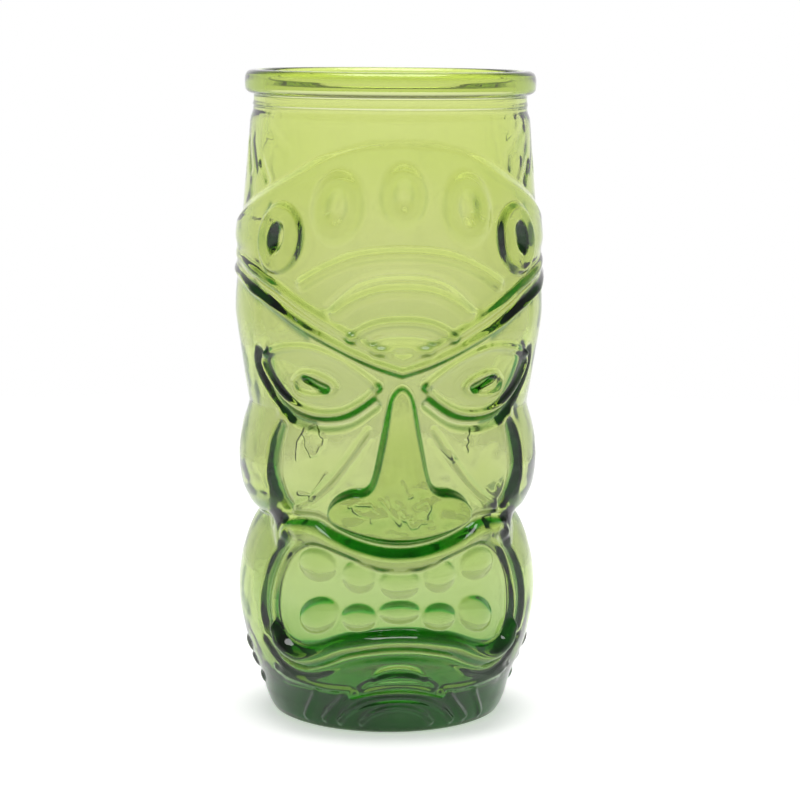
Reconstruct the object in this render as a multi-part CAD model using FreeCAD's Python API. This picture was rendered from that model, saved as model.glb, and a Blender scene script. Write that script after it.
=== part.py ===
import FreeCAD, Part
import math
import os

# Tiki tumbler: one piece of pressed and blown glass, millimetres, +Z up, face towards -Y,
# origin in the middle of the foot.  The glass is laid out in four touching zones that follow
# the parting lines of its mould: neck-ring zone, front wall, rear wall, base slug.

H = 170.0                # overall height
BEAD_R = 37.95           # outside radius of the rim bead
BORE_R = 32.9            # inside radius at the neck ring
Z_JOINT = 157.0          # neck-ring parting line
Z_BASE = 14.0            # base parting line
FLOOR_Z = 9.9            # cup floor, at its edge
FLOOR_DOME = 0.9         # rise of the floor at its middle
FOOT_R = 27.6            # radius of the flat foot
PUNT_R = 21.5            # radius of the hollow under the foot
PUNT_H = 1.1             # depth of that hollow
STEP_A = 1.6             # pole spacing round the body, degrees
STEP_Z = 1.1            # pole spacing up the body, mm


def lo(a, b):
    return a if a < b else b


def hi(a, b):
    return a if a > b else b


def root(a):
    return math.sqrt(a)


def absolute(a):
    return abs(a)


def where(c, a, b):
    return a if c else b


def both(a, b):
    return a and b


def interp(x, pts):
    # cubic through the points, slopes limited so that no overshoot appears
    n = len(pts)
    if x <= pts[0][0]:
        return pts[0][1]
    if x >= pts[-1][0]:
        return pts[-1][1]
    i = 0
    while i < n - 2 and x > pts[i + 1][0]:
        i += 1
    x0, y0 = pts[i]
    x1, y1 = pts[i + 1]
    h = x1 - x0
    s = (y1 - y0) / h

    def slope(k):
        if k == 0 or k == n - 1:
            return (pts[1][1] - pts[0][1]) / (pts[1][0] - pts[0][0]) if k == 0 else \
                (pts[-1][1] - pts[-2][1]) / (pts[-1][0] - pts[-2][0])
        a = (pts[k][1] - pts[k - 1][1]) / (pts[k][0] - pts[k - 1][0])
        b = (pts[k + 1][1] - pts[k][1]) / (pts[k + 1][0] - pts[k][0])
        if a * b <= 0:
            return 0.0
        return 2.0 * a * b / (a + b)
    m0, m1 = slope(i), slope(i + 1)
    t = (x - x0) / h
    return ((2 * t ** 3 - 3 * t ** 2 + 1) * y0 + (t ** 3 - 2 * t ** 2 + t) * h * m0
            + (-2 * t ** 3 + 3 * t ** 2) * y1 + (t ** 3 - t ** 2) * h * m1)


# ---- the glass surface as radius over (angle from the face centre line, height) ----
K = 0.681                       # mm of arc per degree on the body

# body profile at the sides (radius over height)
P_SIDE = [(0.0, 29.3), (1.0, 30.1), (2.6, 31.1), (4.2, 31.8), (5.9, 32.35), (7.6, 32.7), (9.2, 33.1), (11, 33.7),
          (13, 34.5), (15, 35.4), (17, 36.2), (19, 36.9), (21, 37.5), (23, 38.0), (26, 38.65), (29, 39.15),
          (32, 39.42), (34.5, 39.48), (37.5, 39.28), (40, 38.97), (42.5, 38.57), (45, 37.95), (47.2, 37.3),
          (49, 36.65), (50.5, 36.0), (52, 35.25), (53.3, 34.45), (54.35, 33.95), (55.3, 34.9), (56.3, 35.9),
          (57.3, 36.65), (58.5, 37.3), (60, 38.0), (61.7, 38.6), (63.6, 38.98), (66, 39.3), (69, 39.42),
          (71.5, 39.3), (74, 39.02), (76.5, 38.55), (78.7, 38.02), (80.6, 37.42), (82.2, 36.93), (83.4, 36.72),
          (85, 36.98), (88, 37.48), (91, 37.98), (94.7, 38.53), (98, 39.02), (101.5, 39.6), (105, 40.1),
          (108, 40.35), (111, 40.3), (114, 40.1), (117, 39.9), (120, 39.65), (124, 39.35), (127, 39.1),
          (130, 38.8), (135, 38.33), (140, 37.93), (145, 37.55), (150, 37.15), (155, 36.72), (160, 36.3)]
# body profile of the face, between the side lobes
P_FACE = [(0.0, 29.3), (1.0, 30.1), (2.6, 31.1), (4.2, 31.8), (5.9, 32.35), (7.6, 32.7), (9.2, 33.1), (11, 33.8),
          (13, 34.9), (15, 36.0), (18, 37.0), (21, 37.7), (25, 38.2), (30, 38.5), (35, 38.6), (40, 38.5),
          (45, 38.2), (49, 37.8), (52, 37.2), (55, 36.9), (58, 36.9), (62, 37.1), (68, 37.3), (74, 37.35),
          (80, 37.4), (84, 37.6), (88, 37.95), (92, 38.35), (96, 38.85), (101.5, 39.6), (105, 40.0), (108, 40.1),
          (111, 40.0), (114, 39.85), (117, 39.7), (120, 39.5), (124, 39.25), (127, 39.05), (130, 38.8),
          (135, 38.33), (140, 37.93), (145, 37.55), (150, 37.15), (155, 36.72), (160, 36.3)]
# body profile of the plain rear
P_REAR = [(0.0, 29.3), (1.0, 30.1), (2.6, 31.1), (4.2, 31.8), (5.9, 32.35), (7.6, 32.7), (9.2, 33.1), (11, 33.8),
          (13, 34.7), (16, 36.0), (20, 37.2), (26, 38.3), (33, 38.8), (42, 38.6), (50, 38.0), (56, 37.8),
          (63, 38.2), (71, 38.6), (78, 38.5), (86, 38.5), (94, 39.0), (102, 39.7), (109, 40.1), (117, 40.1),
          (124, 39.8), (130, 39.2), (135, 38.6), (140, 38.05), (145, 37.6), (150, 37.15), (155, 36.72), (160, 36.3)]
# crest lines over the angle
L_BAND = [(0, 152.4), (12, 152.1), (20, 151.0), (32, 148.4), (41, 145.4), (47, 143.4), (60, 139.6), (72, 136.3),
          (83, 133.6), (95, 131.6), (115, 130.0), (180, 129.5)]
L_UP = [(0, 98.8), (9, 101.3), (18, 104.2), (33, 110.0), (48, 115.6), (60, 118.9), (75, 121.4), (90, 122.4),
        (110, 123.0)]
L_LOW = [(0, 95.4), (9, 97.4), (18, 100.0), (33, 105.0), (48, 110.4), (60, 113.7), (75, 116.8), (90, 118.1),
         (110, 119.0)]

# raised or sunk lines: (points as (angle, height), half width mm, height mm)
LINES = [
    ([(0, 125.3), (9, 125.0), (18, 123.8), (28, 120.9), (37, 117.2)], 1.5, 1.0),           # forehead arcs
    ([(0, 120.4), (9, 119.9), (18, 117.6), (28, 111.6)], 0.9, -0.6),
    ([(0, 116.2), (9, 115.6), (17, 113.4), (24, 109.9)], 1.4, 0.9),
    ([(0, 108.4), (8, 107.9), (14, 106.2), (18.5, 104.0)], 1.1, 1.0),
    ([(0, 104.9), (7, 104.6), (12, 103.3)], 0.8, -0.7),
    ([(0, 101.9), (6, 101.5), (10, 100.6)], 1.0, 0.7),
    # eyes: lid rim, outer fold, pupil
    ([(9, 91.6), (16, 95.4), (24, 98.7), (35, 100.9), (47, 100.3), (57, 98.3)], 0.95, 0.85),
    ([(57, 98.3), (60, 95.6), (55, 91.2), (48, 87.4), (40, 85.0), (31, 84.1), (22, 85.1), (14, 88.1), (9, 91.6)], 0.95, 0.95),
    ([(63, 98.2), (64.5, 95.0), (59, 89.6), (51, 84.8), (42, 82.0), (31, 81.3), (20, 82.7), (10, 87.2)], 1.35, -1.6),
    ([(43.5, 91.9), (40, 93.9), (34, 94.2), (28, 92.7), (25.5, 91.0), (29, 89.2), (36, 88.6), (42, 89.6), (43.5, 91.9)], 0.8, 0.75),
    # cheek folds
    ([(13, 80.6), (20, 74.0), (28, 67.4), (37, 62.2), (46, 59.2)], 0.75, 0.6),
    ([(12, 78.8), (19, 71.9), (27, 65.4), (36, 60.5)], 0.7, -0.25),
    # fold in front of the side lobe, cheek and mouth level
    ([(51.5, 79.8), (53.3, 76.0), (54.2, 71.0), (53.7, 66.0), (51, 61.8), (47.5, 59.6)], 1.5, -1.1),
    ([(46.5, 51.6), (51.5, 47.4), (55.5, 42.0), (57.4, 35.5), (57.4, 29.0), (55.6, 24.8)], 1.6, -1.2),
    # groove between nose, cheeks and upper lip, running out to the lobes
    ([(50, 56.1), (44, 56.8), (34, 56.9), (27, 54.6), (18, 52.4), (9, 50.9), (0, 50.4)], 1.2, -1.3),
    # lips
    ([(49, 52.0), (43, 53.3), (34, 53.2), (26, 51.4), (18, 49.6), (9, 48.0), (0, 47.5)], 2.0, 1.6),
    ([(54.0, 26.2), (50.5, 22.9), (44, 20.6), (38, 20.4), (30, 22.1), (22, 24.5), (10, 26.2), (0, 26.7)], 1.75, 2.0),
    ([(60, 23.0), (53, 18.4), (45, 16.4), (37, 16.4), (28, 18.6), (20, 20.9), (10, 22.4), (0, 22.9)], 1.2, -0.9),
    # chin
    ([(58, 15.2), (50, 13.9), (42, 13.2), (31, 12.5), (20.5, 12.6)], 0.9, 0.65),
    ([(20.5, 10.9), (15, 12.0), (8, 13.2), (0, 13.7)], 0.9, 0.7),
    ([(9.5, 16.4), (7, 17.8), (3.5, 18.6), (0, 18.8)], 0.9, -0.8),
    ([(16.0, 13.2), (12.5, 15.0), (8.5, 15.9), (4, 16.2), (0, 16.3)], 0.9, 0.7),
    # foot: arch and slanted facets
    ([(27, 3.2), (22, 6.2), (15, 8.8), (8, 10.1), (0, 10.5)], 0.9, 1.1),
    ([(16.5, 3.2), (12, 5.6), (6, 7.2), (0, 7.7)], 0.8, 0.8),
    ([(35, 3.4), (30, 6.6), (24, 10.4)], 0.9, 0.9),
    ([(46, 3.2), (42, 6.8), (38, 10.2)], 0.9, 0.6),
    # hair strokes high on the sides and the rear
    ([(66, 147.0), (60.5, 142.4)], 1.2, -0.38),
    ([(62, 156.0), (48, 149.4)], 1.5, -0.16),
    ([(84, 151.6), (77, 145.0)], 1.3, -0.3),
    ([(101, 151.8), (95, 143.0)], 1.4, -0.22),
    ([(118, 152.2), (113, 142.4)], 1.5, -0.16),
    ([(136, 152.4), (132, 142.0)], 1.5, -0.14),
    ([(154, 152.5), (151.5, 142.0)], 1.5, -0.14),
    ([(171, 152.6), (170, 142.0)], 1.5, -0.14),
]

# nose outline, right half, from the bridge down and round to the middle
NOSE = [(0, 92.0), (3.6, 90.0), (5.2, 86.4), (7.4, 78.1), (10.4, 68.4), (13.5, 65.5), (19, 65.0), (25, 63.0),
        (28.4, 59.6), (27, 56.4), (21, 54.4), (13, 52.9), (6, 52.1), (0, 51.9)]
# mouth opening between the lips, right half
MOUTH = [(0, 44.8), (9, 45.2), (19, 48.0), (29, 50.0), (38, 50.3), (46, 47.6), (51, 42.0), (53.2, 35.0),
         (53.0, 29.5), (49.5, 25.2), (44, 23.4), (38, 23.2), (31, 24.4), (21, 27.0), (10, 28.4), (0, 28.8)]

# domes: centre angle, centre height, half width mm, half height mm, tilt deg, height mm, dimple
TEETH = [(34, 45.2, 6.1, 4.1, 4, 1.25), (16.2, 43.0, 4.8, 4.2, 8, 1.2), (0, 41.4, 5.6, 3.9, 0, 1.2),
         (33, 32.0, 6.5, 4.5, -26, 1.3), (16.0, 32.2, 4.9, 3.6, -4, 1.2), (0, 33.9, 5.7, 2.9, 0, 1.15)]
RINGS = [(48.6, 128.2, 8.2, 9.9, 12, 1.35, 2.6, 5.0, 2.3, 1.9), (24.4, 136.4, 8.0, 10.9, 7, 1.2, 3.9, 6.0, 1.25, 3.2),
         (0, 139.6, 7.2, 9.4, 0, 1.2, 3.7, 5.4, 1.25, 3.2)]
KNOBS = [(84, 18.6, 2.1, 2.3, 0.75), (87, 13.7, 2.1, 2.1, 0.85), (83.5, 9.5, 1.9, 1.7, 0.7),
         (99, 17.2, 2.0, 2.1, 0.6), (101, 12.2, 1.9, 1.9, 0.6)]


def step(t):
    t = lo(hi(t, 0.0), 1.0)
    return t * t * (3.0 - 2.0 * t)


def table(points, x):
    return interp(x, points)


def seg_dist2(u, z, a, b):
    ax, ay = a[0] * K, a[1]
    bx, by = b[0] * K, b[1]
    dx, dy = bx - ax, by - ay
    t = lo(hi(((u - ax) * dx + (z - ay) * dy) / (dx * dx + dy * dy), 0.0), 1.0)
    return (u - ax - t * dx) ** 2 + (z - ay - t * dy) ** 2


def line_dist(u, z, pts):
    d2 = seg_dist2(u, z, pts[0], pts[1])
    for i in range(1, len(pts) - 1):
        d2 = lo(d2, seg_dist2(u, z, pts[i], pts[i + 1]))
    return root(d2)


def dense(pts):
    # Catmull-Rom curve through the points
    out = []
    n = len(pts)
    for i in range(n - 1):
        p1, p2 = pts[i], pts[i + 1]
        p0 = pts[i - 1] if i > 0 else (2 * p1[0] - p2[0], 2 * p1[1] - p2[1])
        p3 = pts[i + 2] if i < n - 2 else (2 * p2[0] - p1[0], 2 * p2[1] - p1[1])
        if i == 0 and p1[0] == 0 and len(pts) > 2:
            p0 = (-p2[0], p2[1])                     # mirrored across the centre line
        if i == n - 2 and p2[0] == 0 and len(pts) > 2:
            p3 = (-p1[0], p1[1])
        for k in range(3):
            t = k / 3.0
            out.append(tuple(0.5 * (2 * p1[c] + (p2[c] - p0[c]) * t
                                    + (2 * p0[c] - 5 * p1[c] + 4 * p2[c] - p3[c]) * t * t
                                    + (3 * p1[c] - p0[c] - 3 * p2[c] + p3[c]) * t ** 3) for c in (0, 1)))
    out.append(pts[-1])
    return out


def bump(d, w):
    # bell with a compact foot
    t = hi(1.0 - (d / (1.9 * w)) ** 2, 0.0)
    return t * t * t


def inside(u, z, pts):
    # crossing test for an outline closed along the centre line
    c = 0.0 * u
    full = pts + [(-40.0, pts[-1][1]), (-40.0, pts[0][1])]
    n = len(full)
    for i in range(n):
        (a0, z0), (a1, z1) = full[i], full[(i + 1) % n]
        if z0 == z1:
            continue
        ua = (a0 + (z - z0) * (a1 - a0) / (z1 - z0)) * K
        hit = both((z0 > z) != (z1 > z), u < ua)
        c = c + where(hit, 1.0, 0.0)
    return c % 2.0


def outline(u, z, pts):
    d = line_dist(u, z, pts)
    s = inside(u, z, pts)
    return d * (2.0 * s - 1.0)          # positive inside


def dome(u, z, c):
    t = math.radians(c[4])
    du, dz = u - c[0] * K, z - c[1]
    x = (du * math.cos(t) + dz * math.sin(t)) / c[2]
    y = (-du * math.sin(t) + dz * math.cos(t)) / c[3]
    return root(x * x + y * y)


LINES = [(dense(p), w, h) for p, w, h in LINES]
NOSE = dense(NOSE)
MOUTH = dense(MOUTH)


def outer_radius(phi, z):
    """outside radius in mm; phi in degrees from the face centre line, z in mm"""
    a = absolute(phi)
    u = a * K
    side, face, rear = table(P_SIDE, z), table(P_FACE, z), table(P_REAR, z)
    seam = hi(1.0 - absolute(z - 54.6) / 6.5, 0.0)
    wf = 1.0 - step((a - 51.5 - 6.0 * step((z - 84.0) / 10.0) - 2.0 * seam) / (5.5 + 12.0 * seam))
    wr = step((a - 104.0) / 34.0)
    r = face * wf + side * (1.0 - wf) * (1.0 - wr) + rear * (1.0 - wf) * wr

    # head band and forehead, a raised field above the brow
    top = table(L_BAND, a)
    low = table(L_LOW, a)
    lift = 1.0 + 0.45 * step((a - 24.0) / 16.0) - 0.15 * step((a - 55.0) / 20.0)
    keep = 1.0 - (0.05 + 0.67 * step((a - 56.0) / 26.0)) * step((127.5 - z) / 5.0)
    band = lift * keep * step((top - z) / 3.2 + 0.5) * step((z - low + 1.4) / 1.6)
    r = r + band * (1.0 - 0.75 * wr)

    # brow ridges
    up = line_dist(u, z, L_UP)
    lw = line_dist(u, z, L_LOW)
    fade = 1.0 - step((a - 98.0) / 14.0)
    ridge = hi((1.15 + 0.3 * step((a - 28.0) / 12.0) - 0.95 * step((a - 54.0) / 26.0)) * bump(lw, 1.25),
               (0.95 - 0.55 * step((a - 58.0) / 27.0)) * bump(up, 1.2))
    r = r + ridge * fade

    for pts, w, h in LINES:
        d = line_dist(u, z, pts)
        r = r + h * bump(d, w)

    slit = line_dist(u, z, [(29.2, 90.6), (33.5, 91.6), (38.0, 92.9)])
    r = r - 1.8 * hi(1.0 - slit / 1.1, 0.0)

    nose = outline(u, z, NOSE)
    rise = 1.7 + 2.6 * step((92.0 - z) / 18.0)
    wall = 1.8 + 0.8 * step((61.0 - z) / 5.0)
    r = r + rise * step(nose / wall + 0.3) + 0.3 * step((nose - 1.5) / 4.0)

    mouth = outline(u, z, MOUTH)
    r = r - 1.45 * step(mouth / 1.8 + 0.4)

    for c in TEETH:
        e = dome(u, z, c)
        r = r + c[5] * hi(1.0 - e ** 2.4, 0.0) ** 0.75
    for c in RINGS:
        e = dome(u, z, c[:5])
        h = dome(u, z, (c[0], c[1] + 0.3, c[6], c[7], c[4]))
        r = r + c[5] * step((1.0 - e) * c[2] / c[9]) - c[8] * step((1.0 - h) * c[6] / c[9])
    for c in KNOBS:
        e = dome(u, z, (c[0], c[1], c[2], c[3], 0.0))
        r = r + c[4] * root(hi(1.0 - e * e, 0.0))
    return r


# inside of the glass, blown: it follows the outside only softly
P_IN = [(9.9, 24.0), (10.3, 26.3), (11.2, 28.2), (13, 29.8), (15, 30.9), (18, 32.2), (22, 33.5), (27, 34.6), (33, 35.2),
        (39, 34.9), (45, 33.7), (50, 32.2), (54.3, 31.2), (58, 32.2), (63, 34.2), (69, 35.1), (76, 34.5),
        (84, 33.4), (92, 34.2), (100, 35.5), (109, 36.4), (117, 36.4), (125, 36.0), (132, 35.6), (140, 34.7),
        (150, 33.8), (155, 33.5), (157, 33.4), (160, 33.3)]
P_IN_FACE = [(9.9, 24.0), (10.3, 26.3), (11.2, 28.2), (13, 29.9), (15, 31.2), (18, 32.8), (22, 33.8), (27, 34.4), (33, 34.5),
             (39, 34.3), (45, 34.0), (50, 33.6), (54.3, 33.3), (58, 33.4), (63, 33.6), (69, 33.8), (76, 33.9),
             (84, 34.0), (92, 34.6), (100, 35.6), (109, 36.5), (117, 36.5), (125, 36.1), (132, 35.6),
             (140, 34.8), (150, 33.9), (155, 33.5), (157, 33.4), (160, 33.3)]
P_IN_REAR = [(9.9, 24.0), (10.3, 26.3), (11.2, 28.2), (13, 29.9), (15, 31.1), (18, 32.5), (22, 33.8), (27, 34.8), (33, 35.3),
             (42, 35.2), (50, 34.6), (56, 34.4), (63, 34.8), (71, 35.2), (78, 35.1), (86, 35.2), (94, 35.7),
             (102, 36.3), (109, 36.7), (117, 36.7), (124, 36.3), (130, 35.8), (135, 35.2), (140, 34.7),
             (150, 33.8), (155, 33.5), (157, 33.4), (160, 33.3)]


def inner_radius(phi, z):
    """inside radius in mm"""
    a = absolute(phi)
    wf = 1.0 - step((a - 34.0) / 34.0)
    wr = step((a - 100.0) / 44.0)
    return (table(P_IN_FACE, z) * wf + table(P_IN, z) * (1.0 - wf) * (1.0 - wr)
            + table(P_IN_REAR, z) * (1.0 - wf) * wr)


def greville(a, b, step_size):
    # pole positions of a clamped cubic with even knots from a to b
    n = max(4, int(math.ceil((b - a) / step_size)))
    knots = [a] * 3 + [a + (b - a) * i / n for i in range(n + 1)] + [b] * 3
    count = len(knots) - 4
    pos = [(knots[i + 1] + knots[i + 2] + knots[i + 3]) / 3.0 for i in range(count)]
    return pos, [i / float(n) for i in range(n + 1)], [4] + [1] * (n - 1) + [4]


def patch(rows, ang, ak, am, zk, zm, radius):
    # rows: list of heights; radius(phi, z)
    poles = []
    for a in ang:
        t = math.radians(a)
        line = []
        for z in rows:
            r = radius(a, z)
            x, y = r * math.sin(t), -r * math.cos(t)
            if abs(abs(a) - 90.0) < 1e-9 or abs(abs(a) - 270.0) < 1e-9:
                y = 0.0
            line.append(FreeCAD.Vector(x, y, z))
        poles.append(line)
    s = Part.BSplineSurface()
    s.buildFromPolesMultsKnots(poles, am, zm, ak, zk, False, False, 3, 3)
    return s


def side_edge(face, test):
    for e in face.Edges:
        pts = e.discretize(5)
        if all(test(p) for p in pts):
            return e
    raise ValueError("edge not found")


def close(faces):
    shell = Part.makeShell(faces)
    shell.sewShape()
    solid = Part.makeSolid(shell)
    if solid.Volume < 0:
        solid.reverse()
    return solid


CACHE = {}


def r_out(a, z):
    key = (round(abs(a), 6), round(z, 6))
    if key not in CACHE:
        CACHE[key] = outer_radius(abs(a), z)
    return CACHE[key]


def fold(a):
    # angle from the face centre line, 0..180
    a = a % 360.0
    return 360.0 - a if a > 180.0 else a


def wall_half(first):
    """half of the wall between the base joint and the neck-ring joint"""
    ang, ak, am = greville(first, first + 180.0, STEP_A)
    rows, zk, zm = greville(Z_BASE, Z_JOINT, STEP_Z)
    out = patch(rows, ang, ak, am, zk, zm, lambda a, z: r_out(fold(a), z)).toShape()
    angi, aki, ami = greville(first, first + 180.0, 6.0)
    rowsi, zki, zmi = greville(Z_BASE, Z_JOINT, 4.0)
    inn = patch(rowsi, angi, aki, ami, zki, zmi, lambda a, z: inner_radius(fold(a), z)).toShape()
    faces = [out, inn]
    tol = 1e-4
    loops = {}
    for name, f in (("o", out), ("i", inn)):
        loops[name] = {
            "top": side_edge(f, lambda p: abs(p.z - Z_JOINT) < tol),
            "bot": side_edge(f, lambda p: abs(p.z - Z_BASE) < tol),
            "pos": side_edge(f, lambda p: abs(p.y) < tol and p.x > 0),
            "neg": side_edge(f, lambda p: abs(p.y) < tol and p.x < 0)}

    def end(e, z=None, x=None):
        ps = [v.Point for v in e.Vertexes]
        if z is not None:
            return min(ps, key=lambda p: abs(p.z - z))
        return max(ps, key=lambda p: p.x * x)
    for lvl in ("top", "bot"):
        eo, ei = loops["o"][lvl], loops["i"][lvl]
        w = Part.Wire(Part.__sortEdges__([eo, Part.makeLine(end(eo, x=1), end(ei, x=1)), ei,
                                          Part.makeLine(end(ei, x=-1), end(eo, x=-1))]))
        faces.append(Part.Face(w))
    for sgn in ("pos", "neg"):
        eo, ei = loops["o"][sgn], loops["i"][sgn]
        w = Part.Wire(Part.__sortEdges__([eo, Part.makeLine(end(eo, z=Z_JOINT), end(ei, z=Z_JOINT)), ei,
                                          Part.makeLine(end(ei, z=Z_BASE), end(eo, z=Z_BASE))]))
        faces.append(Part.Face(w))
    return close(faces)


def rim_finish():
    """neck-ring zone: thick straight neck with the rim bead"""
    r0, r1 = r_out(180.0, Z_JOINT), inner_radius(180.0, Z_JOINT)
    v = FreeCAD.Vector
    outer = [v(r0, 0, Z_JOINT), v(36.36, 0, 159.0), v(36.08, 0, 161.6), v(35.82, 0, 163.2), v(36.15, 0, 164.0)]
    bead = [v(36.15, 0, 164.0), v(37.3, 0, 164.75), v(BEAD_R - 0.08, 0, 165.9), v(BEAD_R, 0, 167.2),
            v(37.55, 0, 168.7), v(36.75, 0, 169.65), v(35.5, 0, H), v(34.3, 0, 169.7), v(33.35, 0, 168.8),
            v(BORE_R, 0, 167.2)]
    bore = [v(BORE_R, 0, 167.2), v(BORE_R - 0.05, 0, 163.5), v(BORE_R, 0, 160.6), v(33.15, 0, 159.2), v(r1, 0, Z_JOINT)]
    edges = []
    for pts in (outer, bead, bore):
        c = Part.BSplineCurve()
        c.interpolate(pts)
        edges.append(c.toShape())
    edges.append(Part.makeLine(bore[-1], outer[0]))
    return Part.Face(Part.Wire(edges)).revolve(v(0, 0, 0), v(0, 0, 1), 360)


def base():
    """base slug with heel, foot, hollow underside and cup floor"""
    rows = greville(0.0, Z_BASE, STEP_Z)[0]
    halves = []
    flat_edges, top_edges = [], []
    for first in (-90.0, 90.0):
        ang, ak, am = greville(first, first + 180.0, STEP_A)
        poles = []
        # heel rows: the foot turns up into the side
        heel = [(FOOT_R, 0.0), (FOOT_R + 1.0, 0.0), (FOOT_R + 1.75, 0.18), (30.05, 0.85)]
        zs = [z for z in rows if z > 1.6]
        for a in ang:
            t = math.radians(a)
            line = []
            for r, z in heel:
                line.append((r, z))
            for z in zs:
                line.append((r_out(fold(a), z), z))
            out = []
            for r, z in line:
                y = 0.0 if abs(abs(a) - 90.0) < 1e-9 or abs(abs(a) - 270.0) < 1e-9 else -r * math.cos(t)
                out.append(FreeCAD.Vector(r * math.sin(t), y, z))
            poles.append(out)
        n = len(heel) + len(zs)
        kk = [i / float(n - 3) for i in range(n - 2)]
        mm = [4] + [1] * (n - 4) + [4]
        s = Part.BSplineSurface()
        s.buildFromPolesMultsKnots(poles, am, mm, ak, kk, False, False, 3, 3)
        f = s.toShape()
        halves.append(f)
        flat_edges.append(side_edge(f, lambda p: abs(p.z) < 1e-4))
        top_edges.append(side_edge(f, lambda p: abs(p.z - Z_BASE) < 1e-4))
        # bowl: inner side from the joint down to the floor, as poles of its own
        angi, aki, ami = greville(first, first + 180.0, 6.0)
        bowl = []
        for a in angi:
            t = math.radians(a)
            line = [(inner_radius(fold(a), Z_BASE), Z_BASE), (30.0, 12.7), (29.0, 11.5), (27.6, 10.5),
                    (25.6, FLOOR_Z + 0.05), (22.6, FLOOR_Z + 0.02)]
            out = []
            for r, z in line:
                y = 0.0 if abs(abs(a) - 90.0) < 1e-9 or abs(abs(a) - 270.0) < 1e-9 else -r * math.cos(t)
                out.append(FreeCAD.Vector(r * math.sin(t), y, z))
            bowl.append(out)
        n = len(bowl[0])
        s = Part.BSplineSurface()
        s.buildFromPolesMultsKnots(bowl, ami, [4] + [1] * (n - 4) + [4], aki,
                                   [i / float(n - 3) for i in range(n - 2)], False, False, 3, 3)
        f = s.toShape()
        halves.append(f)
        top_edges.append(side_edge(f, lambda p: abs(p.z - Z_BASE) < 1e-4))
        flat_edges.append(side_edge(f, lambda p: abs(p.z - (FLOOR_Z + 0.02)) < 1e-4))
    outer_top = Part.Wire(Part.__sortEdges__([top_edges[0], top_edges[2]]))
    inner_top = Part.Wire(Part.__sortEdges__([top_edges[1], top_edges[3]]))
    ring = Part.Face([outer_top, inner_top])
    foot_wire = Part.Wire(Part.__sortEdges__([flat_edges[0], flat_edges[2]]))
    foot = Part.Face(foot_wire)
    floor = Part.Face(Part.Wire(Part.__sortEdges__([flat_edges[1], flat_edges[3]])))
    body = close(halves + [ring, foot, floor])
    # hollow under the foot: a shallow spherical cap
    R = (PUNT_R ** 2 + PUNT_H ** 2) / (2.0 * PUNT_H)
    ball = Part.makeSphere(R, FreeCAD.Vector(0, 0, PUNT_H - R))
    return body.cut(ball).Solids[0]


os.makedirs("parts", exist_ok=True)
NODES = {"rim_finish": rim_finish, "face_wall": lambda: wall_half(-90.0),
         "back_wall": lambda: wall_half(90.0), "base": base}
for name, make in NODES.items():
    shape = make()
    print(name, shape.ShapeType, shape.isValid(), round(shape.Volume / 1000.0, 2), "cm3", len(shape.Faces))
    shape.exportStep("parts/" + name + ".step")
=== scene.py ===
import math

import bpy
import numpy as np
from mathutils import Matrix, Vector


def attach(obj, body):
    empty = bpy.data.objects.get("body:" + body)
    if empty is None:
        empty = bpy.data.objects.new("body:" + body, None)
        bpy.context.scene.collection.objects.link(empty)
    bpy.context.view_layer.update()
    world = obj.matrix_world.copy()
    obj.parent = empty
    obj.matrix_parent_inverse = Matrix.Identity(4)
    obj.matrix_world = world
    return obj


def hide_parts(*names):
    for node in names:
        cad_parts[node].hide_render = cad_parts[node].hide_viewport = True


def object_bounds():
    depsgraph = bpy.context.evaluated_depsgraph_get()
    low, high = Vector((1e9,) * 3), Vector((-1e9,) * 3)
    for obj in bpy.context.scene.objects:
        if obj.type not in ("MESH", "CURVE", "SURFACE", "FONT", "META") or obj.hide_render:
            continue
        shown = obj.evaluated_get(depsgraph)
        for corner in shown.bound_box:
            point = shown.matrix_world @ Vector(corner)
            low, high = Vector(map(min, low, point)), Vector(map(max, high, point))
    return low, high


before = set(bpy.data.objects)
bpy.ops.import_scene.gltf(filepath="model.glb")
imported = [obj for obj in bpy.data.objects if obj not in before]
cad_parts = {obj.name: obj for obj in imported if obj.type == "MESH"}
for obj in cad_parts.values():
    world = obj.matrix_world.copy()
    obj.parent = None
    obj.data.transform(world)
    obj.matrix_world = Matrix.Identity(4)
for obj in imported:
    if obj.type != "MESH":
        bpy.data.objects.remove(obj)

CAD_BOX = [list(map(float, c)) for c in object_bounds()]

# Tiki tumbler: the glass as one continuous body, worked out in millimetres in the row's frame.
H = 170.0
BEAD_R = 37.95
BORE_R = 32.9
Z_JOINT = 157.0
FLOOR_Z = 9.9
FOOT_R = 27.6
PUNT_R = 21.5
PUNT_H = 1.1


def lo(a, b):
    return np.minimum(a, b)


def hi(a, b):
    return np.maximum(a, b)


def root(a):
    return np.sqrt(a)


def absolute(a):
    return np.abs(a)


def where(c, a, b):
    return np.where(c, a, b)


def both(a, b):
    return np.logical_and(a, b)


def interp(x, pts):
    # cubic through the points, slopes limited so that no overshoot appears
    xs = np.array([p[0] for p in pts], float)
    ys = np.array([p[1] for p in pts], float)
    h = np.diff(xs)
    s = np.diff(ys) / h
    m = np.zeros_like(ys)
    m[0], m[-1] = s[0], s[-1]
    a, b = s[:-1], s[1:]
    ok = a * b > 0
    m[1:-1] = np.where(ok, 2 * a * b / np.where(ok, a + b, 1.0), 0.0)
    x = np.clip(x, xs[0], xs[-1])
    i = np.clip(np.searchsorted(xs, x, side="left") - 1, 0, len(xs) - 2)
    t = (x - xs[i]) / h[i]
    return ((2 * t ** 3 - 3 * t ** 2 + 1) * ys[i] + (t ** 3 - 2 * t ** 2 + t) * h[i] * m[i]
            + (-2 * t ** 3 + 3 * t ** 2) * ys[i + 1] + (t ** 3 - t ** 2) * h[i] * m[i + 1])


# ---- the glass surface as radius over (angle from the face centre line, height) ----
K = 0.681                       # mm of arc per degree on the body

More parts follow.
